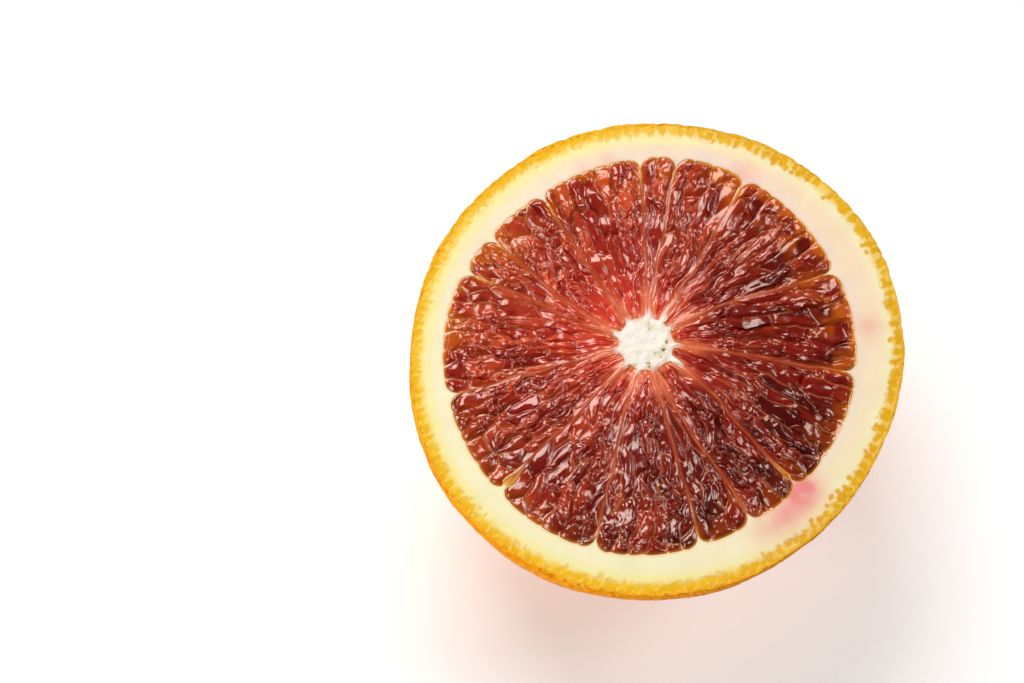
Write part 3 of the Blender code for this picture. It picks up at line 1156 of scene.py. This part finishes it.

# %% [markdown]
# The height and the masks are made together, from the same cells, for every point of a segment's
# top. Near the pith and the membranes the height falls to a low, round edge. The last part tells
# where the flesh is amber, glassy or dark, and where a brighter red is painted on as a glow.
# Painted shade darkens the sacs wherever they lie below the cut plane.


# %% Height and masks of the cut pulp
def crumple(segment, radius, angle, across):
    """Height over the cut plane and the colour masks for points of a segment's top."""
    x = radius * np.cos(angle)
    y = radius * np.sin(angle)

    def blots(size, seed):
        return noise(x / size, y / size, seed=seed)

    start, end = segment.sides(radius)
    from_rim = segment.smooth_outer(across) - radius
    from_pith = segment.outer(across) - radius
    calm = step_up(*CALM_RIM, from_rim)
    narrowing = (radius / FLESH_RADIUS) ** NARROWING
    sway = blots(3.0, 1)
    curl = blots(1.2, 3)
    u = segment.sacs * (0.5 + (across - 0.5) * narrowing) + calm * (SAC_SWAY * sway + SAC_CURL[0] * curl)
    v = from_rim / segment.sac_length + calm * (SAC_SWAY * blots(3.4, 2) + SAC_CURL[1] * curl)
    wide = (end - start) * radius / (segment.sacs * narrowing)
    border, drawn, (du, dv) = cells(u, v, wide, segment.sac_length, segment.sacs, segment.seed)
    tilt = SAC_TILT[0] * (drawn[1] - 0.5) * du + SAC_TILT[1] * (drawn[2] - 0.5) * dv
    level = SAC_LEVEL * (drawn[0] - 0.5) + tilt
    height = step_up(0.0, 0.4, border) * level + SAC_ROUND * wide * pillow(border / (0.5 * wide)) - SAC_SINK
    height += LUMP * blots(1.5, 4) + GROOVE * noise(GROOVES[0] * u, GROOVES[1] * v, seed=segment.seed)

    rough = step_up(-0.3, 0.35, blots(3.2, 5) + 0.5 * (drawn[3] - 0.5))
    smooth_side = 0.5 + 0.5 * np.cos(angle - SMOOTH_TOWARDS)
    rough = rough * (0.3 + 0.7 * calm) * (1 - 0.6 * smooth_side * step_up(14.0, 22.0, radius))
    border2, drawn2, (du2, dv2) = cells(
        2 * u + FOLD_CURL * curl, FOLDS * v + FOLD_CURL * blots(1.9, 6), wide / 2,
        segment.sac_length / FOLDS, 2 * segment.sacs, segment.seed + 1,
    )
    tilt2 = FOLD_TILT[0] * (drawn2[1] - 0.5) * du2 + FOLD_TILT[1] * (drawn2[2] - 0.5) * dv2
    fold = FOLD_ROUND * wide * pillow(border2 / (0.25 * wide)) + FOLD_LEVEL * (drawn2[0] - 0.5) + tilt2
    height += rough * step_up(0.0, 0.25, border2) * fold

    line = np.exp(-((border / SKIN_WIDTHS[0]) ** 2)) * step_up(-0.35, 0.2, blots(2.2, 7))
    line2 = rough * np.exp(-((border2 / SKIN_WIDTHS[1]) ** 2)) * step_up(-0.15, 0.4, blots(1.8, 8))
    height += SKIN_HEIGHTS[0] * line + SKIN_HEIGHTS[1] * line2

    from_side = np.minimum(across, 1 - across) * (end - start) * radius
    from_tip = np.minimum(from_side, radius - segment.inner)
    height = height * step_up(0.0, RIM_ROUND, np.minimum(from_tip, from_pith))
    height -= RIM_DROP * step_up(RIM_DROP_WIDTH, 0.0, from_pith)

    glassy = smooth_side ** 2 * step_up(11.0, 19.0, radius)
    # painted glow: a brighter red round a place just left of the core and all round the core
    painted_glow = GLOW * np.exp(-((np.hypot(x - GLOW_AT[0], y - GLOW_AT[1]) / GLOW_SIZE) ** 2))
    painted_glow += CORE_GLOW * np.exp(-((radius / CORE_GLOW_SIZE) ** 2))
    amber_side = step_up(0.1, 0.88, np.cos(angle - AMBER_TOWARDS))
    amber_side = AMBER_ALL_ROUND + (1 - AMBER_ALL_ROUND) * amber_side
    amber_side = np.maximum(amber_side, 0.8 * step_up(0.8, 0.97, np.cos(angle - SECOND_AMBER)))
    patches = step_up(-0.35, 0.45, blots(2.6, 9) + 0.5 * (drawn[2] - 0.5))
    corner = amber_side * step_up(1.3, 0.2, np.minimum(from_side, from_pith)) * step_up(9.0, 2.0, from_pith)
    amber = amber_side * patches * step_up(7.0, 0.8, from_pith) + 0.6 * corner
    masks = {
        "membrane": np.clip((line + 0.8 * line2) * (1 - 0.4 * glassy), 0.0, 1.0),
        "glassy": glassy,
        "tone": 0.5 * drawn[3] + 0.3 * drawn2[2] + 0.2 * (sway + 1) / 2,
        # painted shade: darker the further a point lies below the cut plane
        "painted_hollow_shade": np.clip(-height * 1.3, 0.0, 1.0),
        "radius": radius,
        "gilt": step_up(0.45, 0.1, from_pith) * (0.3 + 0.6 * amber_side * step_up(-0.4, 0.3, sway)),
        "from_side": from_side,
        "lobe_edge": 0.95 * step_up(1.5, 0.3, from_tip) * step_up(11.0, 5.0, radius),
        "amber": np.clip(amber, 0.0, 0.9),
        "painted_glow": np.clip(painted_glow, 0.0, 0.9),
        "ripe": np.clip(0.5 + 0.5 * np.cos(angle - DARK_TOWARDS) + 0.25 * sway, 0.0, 1.0),
    }
    return height, masks


halfway = np.array(FLESH_RADIUS / 2)
sample = crumple(SEGMENTS[0], halfway, np.mean(SEGMENTS[0].sides(halfway)), np.array(0.5))[1]
print("the masks are", ", ".join(sample))

# %% [markdown]
# Each segment's top is a fine grid from membrane to membrane and from core to pith. The walls
# under it follow the pocket in the pith with fewer and fewer points, as no light reaches them.

# %% Pulp meshes
COLUMN_WIDTH = 0.13
PULP_ROWS = 176
WALLS = (
    (0.9, 1), (1.8, 2), (3.2, 4), (5.5, 8), (9.0, 8), (13.0, 8), (17.0, 8), (21.0, 8), (24.0, 8), (26.5, 8),
)
WALL_MASKS = {"radius": 10.0, "from_side": 10.0}


def outline_steps(columns, rows):
    """Grid places round a segment's edge, anticlockwise from the outer start corner."""
    outer_edge = [(column, rows) for column in range(columns)]
    end_side = [(columns, rows - row) for row in range(rows)]
    inner_edge = [(columns - column, 0) for column in range(columns)]
    start_side = [(0, row) for row in range(rows)]
    return np.array(outer_edge + end_side + inner_edge + start_side)


def pulp_piece(segment):
    """The finely crumpled top of a segment, closed by walls that follow the pocket in the pith."""
    columns = 4 * max(8, round(segment.width / COLUMN_WIDTH / 4))
    across = np.linspace(0, 1, columns + 1)
    across, along = np.meshgrid(across, np.linspace(0, 1, PULP_ROWS + 1), indexing="ij")
    radius, angle = segment.place(across, along)
    height, masks = crumple(segment, radius, angle, across)
    top = from_core(radius, angle, DEPTH + height).reshape(-1, 3)
    number = np.arange(len(top)).reshape(across.shape)
    quads = np.stack((number[1:, :-1], number[:-1, :-1], number[:-1, 1:], number[1:, 1:]), axis=-1)
    faces = quads.reshape(-1, 4).tolist()
    border = outline_steps(columns, PULP_ROWS)
    near = number[border[:, 0], border[:, 1]]
    points = [top]
    count = len(top)
    room = 1 - ((segment.inner + 1.0) / FLESH_RADIUS) ** 2
    deepest = FLESH_DEPTH * math.sqrt(room)
    for depth, every in WALLS:
        chosen = border[::every]
        wall_radius, wall_angle = segment.place(
            chosen[:, 0] / columns, chosen[:, 1] / PULP_ROWS, min(depth, deepest)
        )
        points.append(from_core(wall_radius, wall_angle, DEPTH - min(depth, deepest + depth / 100)))
        far = np.arange(count, count + len(chosen))
        count += len(chosen)
        faces += stitch(near, far)
        near = far
    points.append(points[-1].mean(axis=0)[None])
    faces += [(count, int(b), int(a)) for a, b in zip(near, np.roll(near, -1))]
    points = np.concatenate(points)
    on_walls = np.ones(len(points) - len(top))
    layers = {
        name: np.append(values, WALL_MASKS.get(name, 0.0) * on_walls) for name, values in masks.items()
    }
    node = f"pulp_segment_{(segment.number + 1):02d}"
    piece = new_piece(f"pulp_{(segment.number + 1):02d}", points, faces, layers, pulp_material)
    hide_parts(node)
    return len(faces)


made = [pulp_piece(segment) for segment in SEGMENTS]
print("pulp:", sum(made), "faces")

# %% [markdown]
# ## Membranes
# Between two segments runs a thin double skin. It stands a hair proud of the cut, wanders a
# little, and turns from salmon near the core, with dark red patches where juice has soaked in, to
# orange yellow where it fans out into the pith. Each one is a ribbon with a rounded, streaked top
# that follows the border of its two segments. Two more are faint and lie inside a segment.

# %% Membrane material
def fibres(tree, across_mm, along_mm):
    """Noise drawn out along a ribbon, from its own two measures."""
    where = tree.nodes.new("ShaderNodeCombineXYZ")
    put(tree, where.inputs["X"], sums(tree, "DIVIDE", layer(tree, "offset"), across_mm))
    put(tree, where.inputs["Y"], sums(tree, "DIVIDE", layer(tree, "radius"), along_mm))
    node = tree.nodes.new("ShaderNodeTexNoise")
    put(tree, node.inputs["Vector"], where.outputs["Vector"])
    node.inputs["Scale"].default_value = 1.0
    return node.outputs["Fac"]


membrane_material, tree, shader = new_material("membrane")
tissue = blend_colours(tree, ramp(tree, "radius", 7.0, 14.0), "f27c58", "c8643c")
soaked = scaled(tree, speckle(tree, place(tree), 2.4), 0.42, 0.6)
soaked = sums(tree, "MULTIPLY", soaked, ramp(tree, "radius", 6.0, 11.0, 0.0, 0.8))
tissue = paint(
    tree, tissue,
    (soaked, "8e2410"),
    (ramp(tree, "from_end", 1.0, 6.0, 0.9, 0.0), "eeaa3a"),
    (scaled(tree, fibres(tree, 0.3, 3.0), 0.45, 0.65, 0.0, 0.75), "a04a12"),
)
tissue = paint(
    tree, uneven(tree, tissue, "b83c20", 2.0, 0.4, 0.3),
    (ramp(tree, "from_end", 0.0, 1.3, 1.0, 0.0), "f3cc70"),
    (ramp(tree, "past_white", -0.2, 1.6, 1.0, 0.0), "fdeedd"),
)
dress(tree, shader, {"Base Color": tissue, "Roughness": 0.3, "Coat Weight": 0.4, "Coat Roughness": 0.1})
skin_bump(tree, shader, 0.5, 0.15, 0.5, 0.03, 0.3)
print("membrane material has", len(tree.nodes), "nodes")

# %% [markdown]
# A curve with a bevel makes a ribbon quickly, and it can even change its width along the way, but
# its top would be smooth. Here the cross-section, a low arch on a foot, is set at each station of
# a path, and noise presses fine streaks into the arch.

# %% A ribbon
RIBBON_SIDES = 12
RIBBON_DEPTH = 1.6
RIBBON_EDGE = 0.12
RIBBON_FOOT = 0.6
STREAK_WIDTH = 0.26
STREAK_LENGTH = 2.2
STREAK_HEIGHT = 0.1


def ribbon(path, half_width, lift, layers, seed):
    """A closed ribbon with a rounded, streaked top along points in the cut plane."""
    along = np.gradient(path, axis=0)
    along /= np.linalg.norm(along, axis=1)[:, None]
    sideways = np.column_stack((-along[:, 1], along[:, 0]))
    turn = np.linspace(0.0, math.pi, RIBBON_SIDES - 1)
    across = np.append(np.cos(turn), (-RIBBON_FOOT, RIBBON_FOOT))
    rise = np.append(np.sin(turn) ** 0.5, (-1.0, -1.0))
    count = len(across)
    points = np.zeros((len(path), count, 3))
    points[..., :2] = path[:, None] + sideways[:, None] * (half_width[:, None] * across)[..., None]
    offset = half_width[:, None] * across
    streak = noise(offset / STREAK_WIDTH, layers[0][:, None] / STREAK_LENGTH, seed=seed)
    bulge = rise * (lift[:, None] + RIBBON_EDGE) - RIBBON_EDGE - STREAK_HEIGHT * half_width[:, None] * streak
    bulge = np.where(rise >= 0, bulge, -RIBBON_DEPTH)
    points[..., 2] = DEPTH + bulge
    number = np.arange(len(path) * count).reshape(len(path), count)
    turned = np.roll(number, -1, axis=1)
    quads = np.stack((number[:-1], turned[:-1], turned[1:], number[1:]), axis=-1)
    ends = [number[0][::-1].tolist(), number[-1].tolist()]
    values = [np.repeat(layer_values, count) for layer_values in layers] + [offset.ravel()]
    return points.reshape(-1, 3), quads.reshape(-1, 4).tolist() + ends, np.column_stack(values)


def join(parts):
    """One list of points and faces from several."""
    start = 0
    points, faces, values = [], [], []
    for part_points, part_faces, part_values in parts:
        points.append(part_points)
        faces += [[k + start for k in face] for face in part_faces]
        values.append(part_values)
        start += len(part_points)
    return np.concatenate(points), faces, np.concatenate(values)


print("a ribbon is", RIBBON_SIDES + 1, "points round")

# %% [markdown]
# Each ribbon takes its path from the same function as the segments, so it always fills the gap
# between them. Near the pith it fans out, more at some membranes than at others, and at the core
# it sinks under the white.

# %% Membranes
RIBBON_STATIONS = 160
RIBBON_START = 2.6
RIBBON_END = 1.0
RIBBON_SPARE = 0.06
RIBBON_UNEVEN = (2.1, 0.04)
RIBBON_LIFT = 0.01
LIFT_UNEVEN = (1.9, 0.09)
WHITE_ARMS = (0.7, 0.7, 0.5, 0.1, 0.1, 2.0, 0.8, 0.5, 1.1, 0.5, 0.5, 0.4, 0.5, 0.4)
WHITE_RADIUS = CORE_RADIUS - 0.4
FANS = {1: (0.8, 6.0), 5: (0.35, 8.0), 8: (0.3, 4.5), 11: (0.2, 6.0), 12: (0.2, 4.0), 13: (0.15, 4.0)}
SMALL_FAN = (0.12, 2.5)
WIDE_TOWARDS = math.radians(145.0)
WIDER = 0.2
WIDE_UNTIL = (12.0, 6.0)
FAINT_MEMBRANES = ((-40.0, -34.0, 16.0, 28.6), (7.0, 8.0, 11.0, 27.0))
FAINT_WIDTH = (0.04, 0.07)
FAINT_LIFT = (0.06, 0.08, 0.3)

ribbons = []
for number in range(len(MEMBRANES)):
    middle = flesh_radius(np.radians(MEMBRANES[number][0]))
    radius = np.linspace(RIBBON_START, float(middle) - RIBBON_END, RIBBON_STATIONS)
    angle = membrane_angle(number, radius)
    to_go = radius[-1] - radius
    path = from_core(radius, angle, 0.0)[:, :2]
    half_width = membrane_thickness(radius) / 2 + RIBBON_SPARE
    half_width += RIBBON_UNEVEN[1] * noise_along(radius, RIBBON_UNEVEN[0], 260 + number)
    half_width += WIDER * step_up(*WIDE_UNTIL, radius) * (0.5 + 0.5 * np.cos(angle - WIDE_TOWARDS))
    fan_width, fan_length = FANS.get(number, SMALL_FAN)
    half_width += fan_width * step_up(fan_length, 0.5, to_go)
    lift = 0.4 * fan_width * step_up(fan_length, 1.5, to_go) - 0.4 * step_up(1.2, 0.0, to_go)
    lift += RIBBON_LIFT + LIFT_UNEVEN[1] * noise_along(radius, LIFT_UNEVEN[0], 290 + number)
    white_until = CORE_RADIUS + float(waves(CORE_WAVES, angle[0])) + 0.6
    lift -= 0.5 * step_up(white_until, white_until - 0.6, radius)
    past_white = radius - WHITE_RADIUS - WHITE_ARMS[number]
    ribbons.append(ribbon(path, half_width, lift, (radius, to_go, past_white), 320 + number))
for number, (first, last, nearest, farthest) in enumerate(FAINT_MEMBRANES):
    radius = np.linspace(nearest, farthest, RIBBON_STATIONS)
    angle = np.radians(np.interp(radius, (nearest, farthest), (first, last)))
    angle += WANDER * noise_along(radius, WANDER_LENGTH, 240 + number) / radius
    path = from_core(radius, angle, 0.0)[:, :2]
    from_tip = np.minimum(radius - nearest, farthest - radius)
    half_width = FAINT_WIDTH[0] + FAINT_WIDTH[1] * step_up(0.0, 3.0, from_tip)
    lift = FAINT_LIFT[0] + FAINT_LIFT[1] * noise_along(radius, LIFT_UNEVEN[0], 250 + number)
    lift -= FAINT_LIFT[2] * step_up(1.5, 0.0, from_tip)
    ribbons.append(ribbon(path, half_width, lift, (radius, radius * 0 + 9.0, radius), 340 + number))
points, faces, values = join(ribbons)
layers = dict(zip(("radius", "from_end", "past_white", "offset"), values.T))
membranes = new_piece("membranes", points, faces, layers, membrane_material)
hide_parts("fruit_half")
print("membranes:", len(faces), "faces")

# %% [markdown]
# ## Core
# The middle is a small white star of pith, one arm to each membrane. Past the white its arms
# turn salmon, as the membranes do. It is spongy, with a few brown pits in damp yellow patches.

# %% Core material
core_material, tree, shader = new_material("white_core")
white = paint(
    tree, uneven(tree, "fff7ec", "fae6c8", 1.6, 0.4, 0.5),
    (layer(tree, "damp"), "d8cf98"),
    (ramp(tree, "past_white", -0.2, 1.6), "ee7c50"),
    (layer(tree, "pit"), "94783a"),
)
dress(tree, shader, {"Base Color": white, "Roughness": 0.5, **SOFT_INSIDE})
skin_bump(tree, shader, 0.6, 0.2, 0.6, 0.06, 0.6)
print("core material has", len(tree.nodes), "nodes")

# %% [markdown]
# The core's outline is worked out from its neighbours: it reaches just under the rounded tip of
# each segment and a little way along each membrane. So it closes the middle without a gap.

# %% Core
CORE_STEPS = 540
CORE_ROWS = 36
ARM_LENGTHS = (0.9, 1.4, 1.2, 2.0, 1.2, 2.6, 1.6, 1.2, 1.4, 1.6, 1.0, 1.2, 1.6, 1.4)
ARM_WIDTH = 0.55
WHITE_ARM_WIDTH = 0.45
WHITE_UNEVEN = 0.3
LOBE_OVERLAP = 0.12
CORE_WALLS = ((1.2, 1), (3.0, 2), (6.0, 4), (16.0, 4), (28.0, 4))
PITS = (
    (2.5, 82.0, 0.5), (2.9, 3.0, 0.4), (2.5, -18.0, 0.5), (2.5, -42.0, 0.7), (3.3, -88.0, 0.5),
    (4.3, -122.0, 0.6),
)
PIT_GRAIN = (0.42, 0.3)
PIT_DEPTH = 0.3
DAMP = 0.7
SPONGE_SIZE = 0.9
SPONGE_HEIGHT = (0.04, 0.1)


def near_arm(number, width):
    """1 along the middle of a membrane's arm, falling to 0 at its sides."""
    off = np.mod(angle - math.radians(MEMBRANES[number][1]) + math.pi, TURN) - math.pi
    return np.exp(-((off * CORE_RADIUS / width) ** 2))


angle = np.linspace(-math.pi, math.pi, CORE_STEPS, endpoint=False)
reach = np.full(CORE_STEPS, CORE_RADIUS - 1.5)
for segment in SEGMENTS:
    start, end = segment.sides(np.array(segment.inner))
    turned = start + np.mod(angle - start, TURN)
    across = (turned - start) / (end - start)
    from_side = np.minimum(across, 1 - across) * 2 * segment.inner_corner
    lobe = segment.inner + rounded(from_side, segment.inner_corner) + LOBE_OVERLAP
    reach = np.where(across <= 1.0, lobe, reach)
white_edge = WHITE_RADIUS + waves(CORE_WAVES, angle)
white_edge += WHITE_UNEVEN * noise(3 * np.cos(angle), 3 * np.sin(angle), seed=20)
for number, (_, at_core) in enumerate(MEMBRANES):
    arm_tip = CORE_RADIUS + float(waves(CORE_WAVES, math.radians(at_core))) + ARM_LENGTHS[number]
    reach = np.maximum(reach, arm_tip * near_arm(number, ARM_WIDTH))
    white_edge += WHITE_ARMS[number] * near_arm(number, WHITE_ARM_WIDTH)
part = np.linspace(0.02, 1.0, CORE_ROWS)[:, None]
radius = part * reach
around = np.broadcast_to(angle, radius.shape)
top = from_core(radius, around, DEPTH)
pit = np.zeros(radius.shape)
for distance, towards, size in PITS:
    at = from_core(distance, math.radians(towards), DEPTH)
    away = np.hypot(top[..., 0] - at[0], top[..., 1] - at[1])
    pit = np.maximum(pit, np.exp(-((away / size) ** 2)))
damp = DAMP * pit
pit = pit * step_up(0.1, 0.7, noise(top[..., 0] / PIT_GRAIN[0], top[..., 1] / PIT_GRAIN[1], seed=22))
spongy = step_up(-2.0, 3.0, (top[..., 0] - CORE[0]) - (top[..., 1] - CORE[1]))
sponge = noise(top[..., 0] / SPONGE_SIZE, top[..., 1] / SPONGE_SIZE, seed=21)
swell = (SPONGE_HEIGHT[0] + SPONGE_HEIGHT[1] * spongy) * sponge + 0.08 - PIT_DEPTH * pit
top[..., 2] += 0.02 + swell * step_up(0.0, 0.7, reach - radius)
side = [from_core(reach[::every], angle[::every], DEPTH - depth) for depth, every in CORE_WALLS]
points, faces = closed_rings(list(top) + side)
below_top = np.zeros(len(points) - pit.size)
layers = {"pit": pit, "damp": damp, "past_white": radius - white_edge}
layers = {name: np.append(values, below_top) for name, values in layers.items()}
core = new_piece("core", points, faces, layers, core_material)
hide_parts("fruit_half")
print("core:", len(faces), "faces")
